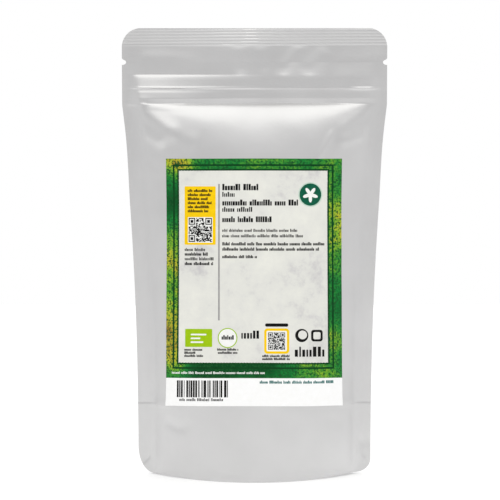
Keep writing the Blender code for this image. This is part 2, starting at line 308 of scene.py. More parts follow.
def ribs(s, t):
    """The ribs of the top seal."""
    phase = (LENGTH - t + RIB_TILT * s) / RIB_PITCH
    wave = 0.5 - 0.5 * np.cos(2 * math.pi * phase)
    pressed = 1 + RIB_MIDDLE_GAIN * np.exp(-((s - RIB_MIDDLE) / RIB_MIDDLE_REACH) ** 2)
    return RIB_HEIGHT * pressed * wave ** RIB_SHARPNESS * smooth((t - SEAL_FOOT) / RIB_START)


def lift(s, t):
    """How far the pouch's outer corners stand off the surface."""
    out = smooth((np.abs(s) - FLAT_FOOT) / LIFT_REACH)
    low = np.clip(1 - t / LIFT_FADE, 0, 1)
    return np.where(s < 0, LEFT_LIFT, RIGHT_LIFT) * out * low ** 2


def bend_slopes(s, angle, flatness):
    """The panel's slope across, at the places s, for each of the slopes that it has at the seal."""
    run = np.clip(s / FREE_HALF, 0, 1)
    free = (1 - flatness) * run + flatness * run ** 3
    kept = 1 - smooth((s - FREE_HALF + SEAL_BEND) / (2 * SEAL_BEND))
    return angle[:, None] * (free * kept)[None, :]


def bend_depth(s, angle, flatness):
    """How far the panel stands out at the places s, which run from 0 to the outline."""
    slope = bend_slopes(s, angle, flatness)
    middle = slope - np.diff(slope, axis=1, prepend=slope[:, :1]) / 2
    fallen = np.cumsum(np.sin(middle) * np.diff(s, prepend=s[0]), axis=1)
    return fallen[:, -1:] - fallen


def bulge(s, t, flatness):
    """The panel's depth over places s, from 0 to the outline, and heights t.

    Near its top the bulge has hips: ridges that run down and inwards from its upper corners.
    """
    angles = np.linspace(0, STEEPEST, SLOPES_TRIED)
    reach = bend_depth(s, angles, flatness)[:, 0]
    centre = bulge_depth(t)
    plain = bend_depth(s, np.interp(centre, reach, angles), flatness)
    wide = bend_depth(s, np.interp(centre * HIP_SPREAD, reach, angles), flatness)
    limit = np.maximum(centre, TINY)[:, None]
    both = np.maximum(wide, TINY) ** -HIP_SHARPNESS + limit ** -HIP_SHARPNESS
    hipped = both ** (-1 / HIP_SHARPNESS) * (1 + HIP_SPREAD ** -HIP_SHARPNESS) ** (1 / HIP_SHARPNESS)
    share = HIP_SHARE * smooth((t - HIP_FOOT) / (BULGE_TOP - HIP_FOOT))[:, None]
    return plain + share * (np.where(wide > TINY, hipped, 0) - plain)


def spread_across(s, depth):
    """Distance across at the places s of a film that is not stretched."""
    step = np.diff(s, prepend=s[0])
    fall = np.diff(depth, axis=1, prepend=depth[:, :1])
    return np.cumsum(np.sqrt(np.clip(step ** 2 - fall ** 2, 0, None)), axis=1)


def crease(s, t, start, end, width, height):
    """A ridge, or with a negative height a valley, along a line; all lengths in millimetres."""
    start, end = np.array(start) * MM, np.array(end) * MM
    along = end - start
    length = np.hypot(*along)
    along = along / length
    run = ((s - start[0]) * along[0] + (t - start[1]) * along[1]) / length
    off = -(s - start[0]) * along[1] + (t - start[1]) * along[0]
    taper = smooth(run / CREASE_TAPER + 0.5) * smooth((1 - run) / CREASE_TAPER + 0.5)
    return height * MM * taper * np.exp(-(off / (width * MM)) ** 2)


def creased(s, t, creases):
    """Several creases together."""
    return sum(crease(s, t, *line) for line in creases)


def waves(s, t, seed, count, longest, shortest, height):
    """Gentle unevenness: a seeded sum of ripples in all directions."""
    draw = np.random.default_rng(seed)
    total = np.zeros(np.broadcast(s, t).shape)
    for length in np.geomspace(longest, shortest, count):
        turn, phase = draw.random(2) * 2 * math.pi
        along = s * math.cos(turn) + t * math.sin(turn)
        total += np.cos(2 * math.pi * along / length + phase) * length / longest
    return total * height / math.sqrt(count)


# Creases as (start, end, width, height) in millimetres: the front ones lie where the photograph
# shows them, and the back ones are like them.
FRONT_CREASES = [
    ((-60.5, 187.5), (-40, 172.8), 4.4, 1.3),
    ((-41, 173.2), (-28, 168.5), 4.4, 0.55),
    ((-60.5, 176.5), (-45, 168.5), 3.2, 1.2),
    ((-56, 160), (-48, 155), 2.5, -0.2),
    ((59, 186.5), (42, 175), 2.6, 0.35),
    ((60, 174), (42.5, 169.2), 3.4, 1.0),
    ((38.5, 174), (31, 161), 1.2, 0.5),
    ((-56, 141), (-48, 130), 4.0, 0.3),
    ((59, 146), (57, 130), 3.0, 0.3),
    ((60, 128), (52, 120), 3.0, -0.25),
    ((-60, 36.2), (-45, 36.9), 2.0, 0.3),
    ((60, 36.6), (44, 37.4), 2.0, 0.25),
    ((-47.5, 28), (-37.5, 24.6), 2.4, -0.4),
    ((-37.5, 24.6), (-33, 29), 2.4, -0.26),
    ((38, 30), (47, 26), 2.8, -0.2),
    ((-20, 5.8), (-9, 3.3), 1.3, -0.12),
    ((22, 5.9), (48, 1.2), 1.3, -0.12),
]
BACK_CREASES = [
    ((-55, 187), (-36, 168), 3.0, -0.9),
    ((55, 187), (37, 163), 3.0, -0.9),
    ((57, 176), (42, 160), 2.5, 0.7),
    ((-57, 170), (-44, 158), 2.8, 0.6),
    ((-57, 120), (-40, 112), 3.0, -0.35),
    ((57, 96), (38, 104), 3.0, -0.35),
    ((-20, 60), (14, 52), 5.0, -0.3),
    ((30, 34), (44, 22), 2.4, -0.3),
    ((-30, 30), (-42, 24), 2.4, -0.3),
]
# The two films lie together between the zip and the top seal, so they share these.
TOP_CREASES = [
    ((-8, 217), (-6.5, 203), 3.0, -0.42),
    ((3, 216), (5, 204), 2.4, -0.22),
    ((23, 217), (13, 203), 3.2, -0.5),
    ((35, 214), (25, 203), 3.6, -0.4),
    ((64, 211), (40, 208), 4.2, -0.28),
    ((-54, 211.5), (-30, 209.5), 3.0, -0.22),
]
# Folds and dents of the sealed layers.
SEAL_CREASES = [
    ((-18, 219.5), (8, 219.5), 3.5, 0.3),
    ((-62, 187.5), (-52.5, 187.3), 0.9, 0.3),
    ((-58.8, 14), (-59.2, 8.5), 0.9, -0.3),
    ((-59.0, 9.2), (-63.5, 4.6), 0.9, -0.35),
    ((58.4, 17), (58.8, 9.5), 0.8, 0.25),
    ((58.6, 9.6), (62.5, 5.6), 0.9, 0.3),
    ((58, 16), (67, 16), 2.8, -0.25),
]


def free_film(s, t):
    """1 where the film is free, falling to 0 at the seals."""
    beside = smooth((FREE_HALF + FREE_PAST_SIDE - np.abs(s)) / FREE_FADE)
    below = smooth((SEAL_FOOT - FREE_BELOW_TOP - t) / FREE_FADE)
    return beside * below


def under_label(s, t):
    """1 where the stiff label holds the film smooth, falling to 0 round it."""
    beside = smooth((LABEL_WIDTH / 2 + LABEL_HOLD_MARGIN - np.abs(s)) / LABEL_HOLD_FADE)
    above = smooth((LABEL_TOP + LABEL_HOLD_MARGIN - t) / LABEL_HOLD_FADE)
    below = smooth((t - LABEL_FOOT + LABEL_HOLD_MARGIN) / LABEL_HOLD_FADE)
    return beside * above * below


def shared_relief(s, t):
    """Unevenness that both films have, so that it moves the whole pouch to and fro."""
    relief = waves(s, t, **POUCH_WAVES) * smooth(t / WAVES_FOOT)
    neck = smooth((t - NECK_FOOT) / NECK_FADE)
    neck = neck * smooth((SEAL_FOOT + NECK_PAST_SEAL - t) / NECK_HEAD_FADE)
    relief = relief + neck * creased(s, t, TOP_CREASES)
    return relief + creased(s, t, SEAL_CREASES) + ribs(s, t)


def own_relief(s, t, creases, seed):
    """Unevenness of one panel's free film."""
    relief = waves(s, t, seed, **PANEL_WAVES) + creased(s, t, creases)
    return relief * free_film(s, t)


def outward(points):
    """Unit normals of a grid of points whose rows run up and columns across, for the front."""
    up, across = np.gradient(points, axis=0), np.gradient(points, axis=1)
    out = np.cross(across, up)
    return out / np.linalg.norm(out, axis=-1, keepdims=True)


def panel_table(creases, seed, smoothed):
    """A panel's outer face, as if it were the front one, on an even grid over s and t."""
    half = np.arange(0, HALF + TABLE_STEP / 2, TABLE_STEP)
    s = np.concatenate([-half[:0:-1], half])[None, :]
    t = np.arange(0, LENGTH + TABLE_STEP / 2, TABLE_STEP)[:, None]
    depth = bulge(half, t[:, 0], FACE_FLATNESS)
    across = spread_across(half, bulge(half, t[:, 0], WIDTH_FLATNESS))
    x = np.concatenate([-across[:, :0:-1], across], axis=1)
    out = np.concatenate([depth[:, :0:-1], depth], axis=1) + seal_depth(s, t) + zip_relief(s, t)
    z = t * RISE + lift(s, t)
    points = np.stack([x, -out, z], axis=-1)
    relief = own_relief(s, t, creases, seed)
    if smoothed:
        relief = relief * (1 - LABEL_HOLD * under_label(s, t))
    return points + relief[..., None] * outward(points)


def sample(table, s, t):
    """Points of a table at any places s and t, between its grid points."""
    s, t = np.broadcast_arrays(s, t)
    col = np.clip((s + HALF) / TABLE_STEP, 0, table.shape[1] - TABLE_MARGIN)
    row = np.clip(t / TABLE_STEP, 0, table.shape[0] - TABLE_MARGIN)
    left, low = col.astype(int), row.astype(int)
    right, up = (col - left)[..., None], (row - low)[..., None]
    bottom = table[low, left] * (1 - right) + table[low, left + 1] * right
    top = table[low + 1, left] * (1 - right) + table[low + 1, left + 1] * right
    return bottom * (1 - up) + top * up


class Panel:
    """One side of the pouch, with its surface and normals at any place."""

    def __init__(self, creases, seed, front):
        s = np.arange(-HALF, HALF + TABLE_STEP / 2, TABLE_STEP)[None, :]
        t = np.arange(0, LENGTH + TABLE_STEP / 2, TABLE_STEP)[:, None]
        table = panel_table(creases, seed, front)
        if not front:
            table = table * np.array([1, -1, 1])
        table[..., 1] -= shared_relief(s, t)
        self.points = table
        self.normals = outward(table) * (1 if front else -1)

    def at(self, s, t, height):
        """Points at the given height off the film's outer face."""
        s, t = np.broadcast_arrays(np.asarray(s, float), np.asarray(t, float))
        height = np.asarray(height, float)[..., None]
        return sample(self.points, s, t) + height * sample(self.normals, s, t)


def corner_cut(to_edge, wide, high):
    """How much a round corner takes off the outline at a distance from its upper or lower edge."""
    rest = 1 - np.clip(to_edge / high, 0, 1)
    return wide * (1 - np.sqrt(1 - rest ** 2))


def half_width(t, left):
    """Half of the outline's width at height t, with its round corners and tear notches."""
    left_cut = corner_cut(t, LEFT_CORNER_WIDTH, LEFT_CORNER_HEIGHT)
    lower = np.where(left, left_cut, corner_cut(t, RIGHT_CORNER, RIGHT_CORNER))
    upper = corner_cut(LENGTH - t, TOP_CORNER, TOP_CORNER)
    from_notch = (t - (LENGTH - NOTCH_BELOW_TOP)) / NOTCH_HALF_HEIGHT
    notch = NOTCH_DEPTH * np.sqrt(np.clip(1 - from_notch ** 2, 0, 1))
    return HALF - lower - upper - notch


def film_columns():
    """Columns across the panel, closest at the side seals."""
    middle = np.linspace(0, STILL_HALF, MIDDLE_COLUMNS)
    side = np.linspace(STILL_HALF, HALF, SIDE_COLUMNS)[1:]
    half = np.concatenate([middle, side])
    return np.concatenate([-half[:0:-1], half])


def fitted(columns, t):
    """The columns, drawn in beside the seals so that the last ones follow the outline."""
    share = np.clip((np.abs(columns) - STILL_HALF) / (HALF - STILL_HALF), 0, 1)
    inner = np.clip(np.abs(columns), 0, STILL_HALF)
    return np.sign(columns) * (inner + share * (half_width(t, columns < 0) - STILL_HALF))


def film_rows():
    """Rows up the panel, closest at the corners, the zip, the notches and the top seal."""
    round_steps = 1 - np.cos(np.linspace(0, math.pi / 2, ROUND_ROWS))
    turns = np.sin(np.linspace(-math.pi / 2, math.pi / 2, ROUND_ROWS))
    notch = LENGTH - NOTCH_BELOW_TOP + NOTCH_HALF_HEIGHT * turns
    feet = [LEFT_CORNER_HEIGHT * round_steps, RIGHT_CORNER * round_steps]
    top = np.arange(SEAL_FOOT, LENGTH, RIB_PITCH / RIB_ROWS)
    rows = feet + [notch, top, LENGTH - TOP_CORNER * round_steps]
    rows += [np.arange(*run) * MM for run in ROW_RUNS]
    rows = np.sort(np.concatenate(rows))
    return rows[np.diff(rows, prepend=-1) > CLOSEST_ROWS]


def sheet_faces(rows, cols, first=0):
    """Quads of a closed sheet whose two faces each have rows by cols points."""
    place = np.arange(rows * cols).reshape(rows, cols)
    low, high = place[:-1], place[1:]
    front = np.stack([low[:, :-1], low[:, 1:], high[:, 1:], high[:, :-1]], axis=-1).reshape(-1, 4)
    back = front[:, ::-1] + rows * cols
    rim = np.concatenate([place[0, :], place[1:, -1], place[-1, -2::-1], place[-2::-1, 0]])
    start, end = rim[:-1], rim[1:]
    side = np.stack([end, start, start + rows * cols, end + rows * cols], axis=1)
    return np.concatenate([front, back, side]) + first


def add_mesh(name, points, faces, material, replaced=()):
    """A smooth-shaded piece that rides on the pouch."""
    mesh = bpy.data.meshes.new(name)
    mesh.from_pydata(np.asarray(points).tolist(), [], np.asarray(faces).tolist())
    shape = bmesh.new()
    shape.from_mesh(mesh)
    bmesh.ops.recalc_face_normals(shape, faces=shape.faces)
    shape.to_mesh(mesh)
    shape.free()
    mesh.shade_smooth()
    mesh.set_sharp_from_angle(angle=SHARP_ANGLE)
    mesh.materials.append(material)
    piece = bpy.data.objects.new(name, mesh)
    bpy.context.scene.collection.objects.link(piece)
    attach(piece, "root")
    if replaced:
        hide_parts(*replaced)


def sheet_points(outer, inner):
    """The points of a closed sheet, its outer face first."""
    return np.concatenate([outer.reshape(-1, 3), inner.reshape(-1, 3)])


def add_film(name, panel, material):
    """One large panel of film."""
    t = film_rows()[:, None]
    s = fitted(film_columns()[None, :], t)
    points = sheet_points(panel.at(s, t, 0), panel.at(s, t, -FILM))
    add_mesh(name + "_skin", points, sheet_faces(*s.shape), material, [name])


def hem_height(s):
    """How high the gusset is sealed to the panel, lowest in the middle."""
    run = np.clip(np.abs(s) / FREE_HALF, 0, 1)
    return HEM_HEIGHT + (FOLD_HEIGHT - HEM_HEIGHT) * run ** 2


def gusset_layer(front, back, depth, drop):
    """One face of the gusset: up the front hem, over the free span and down the back hem."""
    s = film_columns()[None, :]
    leg = np.linspace(0, 1, LEG_ROWS)[:, None]
    t = leg * (hem_height(s) - drop)
    edged = fitted(s, t)
    up, down = front.at(edged, t, -depth), back.at(edged, t, -depth)[::-1]
    share = np.linspace(0, 1, SPAN_ROWS)[1:-1, None]
    run = np.clip(np.abs(s) / FREE_HALF, 0, 1)
    span = up[-1][None] * (1 - share[..., None]) + down[0][None] * share[..., None]
    span[..., 2] += SPAN_RISE * (1 - run ** 2) * (1 - np.abs(2 * share - 1)) ** SPAN_ROUNDING
    return np.concatenate([up, span, down])


def add_gusset(front, back, material):
    """The folded film under the pouch."""
    outer = gusset_layer(front, back, FILM + HEM_GAP, 0)
    inner = gusset_layer(front, back, 2 * FILM, FILM)
    faces = sheet_faces(*outer.shape[:2])
    add_mesh("bottom_gusset_skin", sheet_points(outer, inner), faces, material,
             ["bottom_gusset"])


def add_fill(front, back, material):
    """The pods inside as one lumpy bulk, just within the films."""
    s = np.linspace(-FILL_HALF, FILL_HALF, FILL_COLUMNS)[None, :]
    low = hem_height(s) + FILL_ABOVE_GUSSET
    t = low + (FILL_TOP - low) * np.linspace(0, 1, FILL_ROWS)[:, None]
    height = waves(s, t, **POD_WAVES) - FILL_GAP
    points = sheet_points(front.at(s, t, height), back.at(s, t, height))
    add_mesh("cardamom_bulk", points, sheet_faces(*t.shape), material, ["cardamom_fill"])


def label_place(u, v):
    """The place on the panel of a place on the label, which is given from its lower left corner."""
    across, up = 2 * u / LABEL_WIDTH - 1, v / LABEL_LENGTH
    edges = LABEL_EDGES[0] * (1 - up) + LABEL_EDGES[1] * up
    arch = LABEL_ARCH[0] * (1 - up) + LABEL_ARCH[1] * up
    rise = LABEL_RISE[0] * (1 - up) + LABEL_RISE[1] * up
    s = LABEL_WIDTH / 2 * (LABEL_MIDDLE * across + edges * across ** 3)
    return s + LABEL_SHIFT, LABEL_FOOT + v + (rise - arch * across ** 2) * MM


class Print:
    """Thin closed shapes printed on the label, gathered into one piece."""

    def __init__(self, panel, layer):
        self.panel = panel
        self.high = LABEL_THICKNESS + layer * INK
        self.low = self.high - INK + INK_GAP
        self.points, self.faces, self.count = [], [], 0

    def add(self, u, v):
        """Add a shape: u and v are its grid's places from the label's lower left corner."""
        s, t = label_place(u, v)
        points = sheet_points(self.panel.at(s, t, self.high), self.panel.at(s, t, self.low))
        self.faces.append(sheet_faces(*u.shape, self.count))
        self.points.append(points)
        self.count += len(points)

    def box(self, left, foot, right, head):
        """Add a rectangle, in millimetres."""
        self.add(*rectangle(left, foot, right, head))

    def make(self, name, material, replaced=()):
        """Turn the shapes into one piece."""
        points, faces = np.concatenate(self.points), np.concatenate(self.faces)
        add_mesh(name, points, faces, material, replaced)


def rectangle(left, foot, right, head):
    """Places of a rectangle that is given in millimetres."""
    left, foot, right, head = left * MM, foot * MM, right * MM, head * MM
    cols = max(2, math.ceil((right - left) / CELL) + 1)
    rows = max(2, math.ceil((head - foot) / CELL) + 1)
    return np.meshgrid(np.linspace(left, right, cols), np.linspace(foot, head, rows))


def rounded(left, foot, right, head, radius):
    """Places of a rectangle with round corners, in millimetres."""
    turn = radius * (1 - np.cos(np.linspace(0, math.pi / 2, ROUND_POINTS)))
    straight = np.arange(foot + radius + 1, head - radius - 0.5)
    rows = np.concatenate([foot + turn, straight, head - turn[::-1]])
    inside = np.clip(np.minimum(rows - foot, head - rows), 0, radius)
    half = (right - left) / 2 - radius + np.sqrt(radius ** 2 - (radius - inside) ** 2)
    share = np.linspace(-1, 1, max(2, math.ceil(right - left) + 1))
    u = (left + right) / 2 + half[:, None] * share
    v = np.repeat(rows[:, None], len(share), axis=1)
    return u * MM, v * MM


def disc(middle, radius, petals=0):
    """Places of a disc, or of a flower with round petals, in millimetres."""
    line = np.linspace(-1, 1, FLOWER_GRID if petals else DISC_GRID)
    a, b = np.meshgrid(line, line)
    x, y = a * np.sqrt(1 - b ** 2 / 2), b * np.sqrt(1 - a ** 2 / 2)
    wave = 1 + PETAL_DEPTH * np.cos(petals * np.arctan2(y, x) + math.pi / 2) * np.hypot(x, y)
    scale = wave / (1 + PETAL_DEPTH) if petals else 1
    return (middle[0] + radius * x * scale) * MM, (middle[1] + radius * y * scale) * MM


def write_line(ink, draw, left, foot, right, tall, bold=False):
    """A line of meaningless strokes, in millimetres, grouped as words."""
    gap = (BOLD_GAP if bold else THIN_GAP) * tall
    place = left
    while place < right - LAST_ROOM * tall:
        for stroke in range(draw.integers(*WORD_STROKES)):
            wide = tall * (draw.uniform(*STROKE_WIDTHS) + (BOLD_EXTRA if bold else THIN_EXTRA))
            if place + wide > right:
                return
            head = foot + tall * draw.choice([SHORT_STROKE, SHORT_STROKE, 1])
            ink.box(place, foot, place + wide, head)
            place += wide + gap
        place += WORD_GAP * tall


def block_code(ink, draw, left, foot, side):
    """A square of meaningless blocks, with a target in three of its corners."""
    dark = draw.random((CODE_CELLS, CODE_CELLS)) < CODE_DARK
    near = np.maximum(*np.abs(np.mgrid[-3:4, -3:4]))
    target = np.pad(near != 2, (0, 1))
    reach = len(target)
    dark[:reach, :reach], dark[:reach, -reach:] = target, target[:, ::-1]
    dark[-reach:, :reach] = target[::-1]
    size = side / CODE_CELLS
    for row, cells in enumerate(dark[::-1]):
        edges = np.flatnonzero(np.diff(np.pad(cells.astype(int), 1)))
        for start, end in edges.reshape(-1, 2):
            low = foot + row * size
            ink.box(left + start * size, low, left + end * size, low + size)


def bar_code(ink, draw, left, foot, right, head):
    """Meaningless upright bars."""
    place = left
    while place < right:
        wide = BAR_MODULE * draw.choice(BAR_WIDTHS)
        ink.box(place, foot, min(place + wide, right), head)
        place += wide + BAR_MODULE * draw.choice(BAR_GAPS)


# Places on the label in millimetres from its lower left corner. Boxes are (left, foot, right,
# head), round boxes also give the radius of their corners, discs are ((across, up), radius), and
# codes are (left, foot, side).
SHEET_BOX = (-0.2, 0, 89.5, 123)
BORDER_BOX = (-0.2, 14.1, 89.5, 123)
PANEL_BOX = (6.4, 21.8, 82.1, 117.1)
FRAME_REACHES = (0.8, 3.1)
FRAME_WIDTH = 0.9
YELLOW_BOX = (9.3, 80.5, 25.1, 109.3, 0.5)
UPPER_CODE_BOX = (11.0, 81.5, 23.6, 94.1)
UPPER_CODE = (11.4, 81.9, 11.8)
LOWER_CODE_FRAME = (49.9, 26.4, 62.6, 39.0, 1.6)
LOWER_CODE_BOX = (51.1, 27.6, 61.4, 37.8, 0.6)
LOWER_CODE = (51.9, 28.4, 8.6)
GREEN_BOX = (9.8, 29.7, 23.4, 38.7, 0.4)
WHITE_BARS = [(12.6, 35.5 - 1.9 * row, right, 36.3 - 1.9 * row, 0.35)
              for row, right in enumerate((20.5, 17.5, 19.0))]
FLAT_BAR = (50.4, 39.9, 62.1, 41.5, 0.7)
HALO, EMBLEM, FLOWER = [((73.4, 105.3), radius) for radius in (6.1, 5.5, 3.9)]
ROUND_MARK, ROUND_MARK_MIDDLE = [((31.2, 34.2), radius) for radius in (5.0, 4.5)]
RING, RING_HOLE = ((68.9, 35.5), 3.3), ((69.3, 35.8), 2.2)
SQUARE_MARK, SQUARE_HOLE = (73.6, 32.5, 79.4, 38.3, 1.3), (74.7, 33.6, 78.3, 37.2, 0.7)
BARS_BOX = (5.7, 4.4, 31.3, 12.9)
DIVIDER_BOX = (26.4, 43.0, 27.2, 110.5)

# Lines of strokes on the label as (left, foot, right, height, bold), in millimetres as above.
NOTE_LINE = (3.0, 16.2, 50.4, 1.2, False)
ROUND_MARK_LINE = (28.2, 33.4, 34.4, 2.2, True)
BARS_LINE = (7.0, 2.5, 30.4, 1.5, False)
DATE_LINE = (47.6, 11.4, 84.8, 1.5, True)
MAIN_LINES = [
    (28.5, 107.4, 47.4, 3.1, True),
    (28.5, 104.2, 35.4, 2.4, False),
    (28.5, 99.9, 67.7, 2.9, True),
    (28.5, 96.8, 44.0, 2.4, False),
    (28.5, 91.7, 54.7, 2.8, True),
    (28.5, 86.9, 67.9, 1.5, False),
    (28.5, 84.2, 69.6, 1.5, False),
    (28.5, 80.2, 80.8, 1.6, True),
    (28.5, 77.6, 78.2, 1.6, True),
    (28.5, 73.9, 46.6, 1.5, True),
    (9.4, 77.4, 20.2, 1.5, False),
    (9.4, 75.1, 21.4, 1.6, True),
    (9.4, 72.8, 24.4, 1.5, False),
    (9.4, 70.4, 24.2, 1.6, True),
    (9.4, 27.8, 18.4, 1.2, True),
    (9.4, 26.2, 15.0, 1.2, True),
    (9.4, 24.7, 19.3, 1.2, True),
    (25.9, 27.9, 37.0, 1.2, True),
    (26.3, 26.3, 37.0, 1.2, True),
    (38.2, 33.9, 47.8, 4.0, False),
    (48.9, 24.7, 63.1, 1.2, True),
    (48.9, 23.2, 63.1, 1.2, True),
    (65.4, 24.9, 81.2, 5.0, False),
]
YELLOW_LINES = [(10.9, 106.5 - 2.0 * row, 23.6 - row % 3, 1.4, True) for row in range(6)]


def add_label_ground(front):
    """The label itself, its mottled border, its pale panel and the lines round that."""
    sheet = Print(front, 0)
    sheet.low = INK_GAP
    sheet.box(*SHEET_BOX)
    sheet.make("label_sheet", print_material("label_white"), ["label"])
    border = Print(front, 1)
    border.box(*BORDER_BOX)
    border.make("label_border", border_material())
    panel = Print(front, 2)
    panel.box(*PANEL_BOX)
    panel.make("label_panel", parchment_material())
    lines = Print(front, 2)
    for reach in FRAME_REACHES:
        add_frame(lines, reach)
    lines.make("label_lines", print_material("line_green"))


def add_frame(ink, reach):
    """Four strips that stand off the pale panel by reach."""
    left, foot, right, head = PANEL_BOX
    left, foot, right, head = left - reach, foot - reach, right + reach, head + reach
    ink.box(left, foot, right, foot + FRAME_WIDTH)
    ink.box(left, head - FRAME_WIDTH, right, head)
    ink.box(left, foot + FRAME_WIDTH, left + FRAME_WIDTH, head - FRAME_WIDTH)
    ink.box(right - FRAME_WIDTH, foot + FRAME_WIDTH, right, head - FRAME_WIDTH)


def add_label_blocks(front):
    """The coloured blocks and round marks on the pale panel."""
    yellow = Print(front, 3)
    yellow.add(*rounded(*YELLOW_BOX))
    yellow.add(*rounded(*LOWER_CODE_FRAME))
    yellow.make("label_yellow", print_material("print_yellow"))
    leaf = Print(front, 3)
    leaf.add(*rounded(*GREEN_BOX))
    leaf.add(*disc(*ROUND_MARK))
    leaf.make("label_light_green", print_material("print_light_green"))
    halo = Print(front, 3)
    halo.add(*disc(*HALO))
    halo.make("label_halo", print_material("print_pale_green"))
    green = Print(front, 4)
    green.add(*disc(*EMBLEM))
    green.make("label_disc", print_material("print_dark_green"))


def add_label_whites(front):
    """White shapes on the coloured blocks."""
    ink = print_material("print_white")
    white = Print(front, 4)
    white.box(*UPPER_CODE_BOX)
    white.add(*rounded(*LOWER_CODE_BOX))
    white.add(*disc(*ROUND_MARK_MIDDLE))
    for bar in WHITE_BARS:
        white.add(*rounded(*bar))
    white.make("label_white_shapes", ink)
    flower = Print(front, 5)
    flower.add(*disc(*FLOWER, petals=5))
    flower.make("label_flower", ink)
    note = Print(front, 2)
    write_line(note, np.random.default_rng(NOTE_SEED), *NOTE_LINE)
    note.make("label_white_line", ink)


def add_label_text(front, draw, black):
    """The lines of black strokes and the plain marks on the pale panel."""
    text = Print(front, 3)
    for line in MAIN_LINES:
        write_line(text, draw, *line)
    text.add(*rounded(*FLAT_BAR))
    text.add(*disc(*RING))
    text.add(*rounded(*SQUARE_MARK))
    text.make("label_text", black)
    pale = Print(front, 4)
    pale.add(*disc(*RING_HOLE))
    pale.add(*rounded(*SQUARE_HOLE))
    pale.make("label_mark_middles", parchment_material())


def add_label_codes(front, draw, black):
    """The codes, the strokes on the blocks and those under the panel."""
    codes = Print(front, 5)
    block_code(codes, draw, *UPPER_CODE)
    block_code(codes, draw, *LOWER_CODE)
    write_line(codes, draw, *ROUND_MARK_LINE)
    codes.make("label_codes", black)
    small = Print(front, 4)
    for line in YELLOW_LINES:
        write_line(small, draw, *line)
    small.make("label_small_text", black)
    bars = Print(front, 1)
    bar_code(bars, draw, *BARS_BOX)
    write_line(bars, draw, *BARS_LINE)
    bars.make("label_bars", black)
    date = Print(front, 1)
    write_line(date, draw, *DATE_LINE)
    date.make("label_date_line", print_material("print_blue_green"))


def add_label_divider(front):
    """The grey line between the panel's two columns."""
    rule = Print(front, 3)
    rule.box(*DIVIDER_BOX)
    rule.make("label_divider", print_material("print_grey"))


def add_label(front):
    """The label with everything printed on it."""
    add_label_ground(front)
    add_label_blocks(front)
    add_label_whites(front)
    draw = np.random.default_rng(INK_SEED)
    black = print_material("print_black")
    add_label_text(front, draw, black)
    add_label_codes(front, draw, black)
    add_label_divider(front)


class Material:
    """A node material: short calls that add its nodes."""

    def __init__(self, name):
        self.material = bpy.data.materials.new(name)
        self.material.use_nodes = True
        self.tree = self.material.node_tree
        self.shader = self.tree.nodes["Principled BSDF"]

    def node(self, kind, **values):
        """A new node with values for its sockets or settings."""
        made = self.tree.nodes.new(kind)
        for key, value in values.items():
            if key in made.inputs:
                made.inputs[key].default_value = value
            else:
                setattr(made, key, value)
        return made

    def link(self, source, target):
        """Join an output to an input."""
        self.tree.links.new(source, target)

    def place(self):
        """The point in the pouch's own axes, in metres."""
        return self.node("ShaderNodeTexCoord").outputs["Object"]

    def noise(self, scale, detail=3, roughness=0.5, distortion=0):
        """Noise from 0 to 1, with scale features a metre."""
        made = self.node("ShaderNodeTexNoise", Scale=scale, Detail=detail, Roughness=roughness,
                         Distortion=distortion)
        self.link(self.place(), made.inputs["Vector"])
        return made.outputs["Fac"]

    def ramp(self, source, stops):
        """Colours along a value, as (place, colour)."""
        made = self.node("ShaderNodeValToRGB")
        ramp = made.color_ramp
        while len(ramp.elements) < len(stops):
            ramp.elements.new(1)
        for element, (place, colour) in zip(ramp.elements, stops):
            element.position = place
            element.color = (*colour, 1)
        self.link(source, made.inputs["Fac"])
        return made.outputs["Color"]

    def spread(self, source, low, high):
        """A value from 0 to 1 spread between two others."""
        made = self.node("ShaderNodeMapRange")
        made.inputs["To Min"].default_value = low
        made.inputs["To Max"].default_value = high
        self.link(source, made.inputs["Value"])
        return made.outputs["Result"]

    def bump(self, heights):
        """Bump from several (source, depth in metres) pairs."""
        last = None
        for source, depth in heights:
            made = self.node("ShaderNodeBump", Strength=1.0, Distance=depth)
            self.link(source, made.inputs["Height"])
            if last:
                self.link(last, made.inputs["Normal"])
            last = made.outputs["Normal"]
        self.link(last, self.shader.inputs["Normal"])

    def colour(self, source):
        """Give the surface its colour."""
        self.link(source, self.shader.inputs["Base Color"])

    def rough(self, source, low, high):
        """Spread the surface's roughness between two values."""
        self.link(self.spread(source, low, high), self.shader.inputs["Roughness"])

    def set(self, **values):
        """Set uniform values on the shader's own sockets."""
        for key, value in values.items():
            self.shader.inputs[key.replace("_", " ")].default_value = value


def film_material():
    """Satin silver laminate."""
    film = Material("silver_film")
    film.colour(film.ramp(film.noise(35, 4), FILM_STOPS))
    film.rough(film.noise(90, 5), *FILM_ROUGHNESS)
    film.bump([(film.noise(160, 3), FILM_DENT_DEPTH), (film.noise(2600, 2), FILM_GRAIN_DEPTH)])
    film.set(Metallic=1.0)
    return film.material


def print_material(name):
    """Ink on the label, with faint mottling and little gloss."""
    made = mottled(name, *INKS[name], PRINT_ROUGHNESS)
    made.set(Specular_IOR_Level=PRINT_GLOSS)
    return made.material


def mottled(name, low, high, roughness, scale=400):
    """A printed or moulded surface with faint mottling and grain."""
    made = Material(name)
    made.colour(made.ramp(made.noise(scale, 5), [(0.3, low), (0.7, high)]))
    grain = made.noise(GRAIN_SCALE, 3)
    made.rough(grain, roughness - ROUGHNESS_SPREAD, roughness + ROUGHNESS_SPREAD)
    made.bump([(grain, GRAIN_DEPTH)])
    return made


